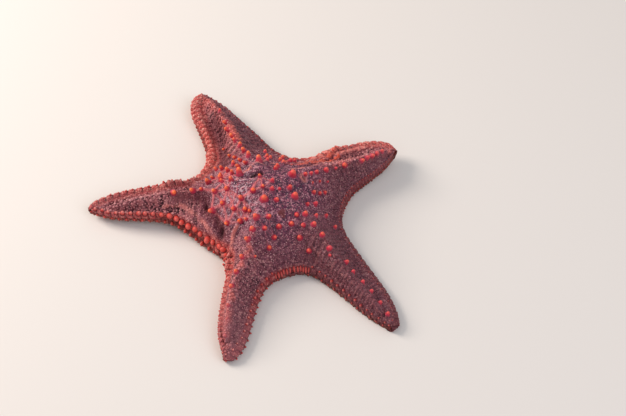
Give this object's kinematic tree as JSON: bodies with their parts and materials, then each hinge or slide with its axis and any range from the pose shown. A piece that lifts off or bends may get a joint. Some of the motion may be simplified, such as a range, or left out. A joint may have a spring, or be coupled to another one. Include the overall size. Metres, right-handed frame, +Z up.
{
  "type": "starfish",
  "caption": "Knobbed cushion sea star at rest, with a domed disc, keeled arms framed by marginal plates, and blunt tubercles on its back.",
  "frame": {"origin": "under the middle of the whole, on the surface it rests on", "axes": "+Z up, out of the back; +X along the right-hand arms; -Y towards the viewer"},
  "size_m": [0.1857, 0.2008, 0.0352],
  "materials": {
    "disc_skin": "slate-violet granular skin, drawn up in pink strands to each tubercle",
    "arm_skin": "red granular skin over plates, slightly damp",
    "tubercle": "orange-red blunt calcite knobs, smooth",
    "sieve_plate": "brown-red, finely grooved"
  },
  "bodies": {
    "root": {"disc": "disc_skin", "madreporite": "sieve_plate", "arm_1": "arm_skin", "arm_2": "arm_skin", "arm_3": "arm_skin", "arm_4": "arm_skin", "arm_5": "arm_skin"}
  },
  "joints": []
}
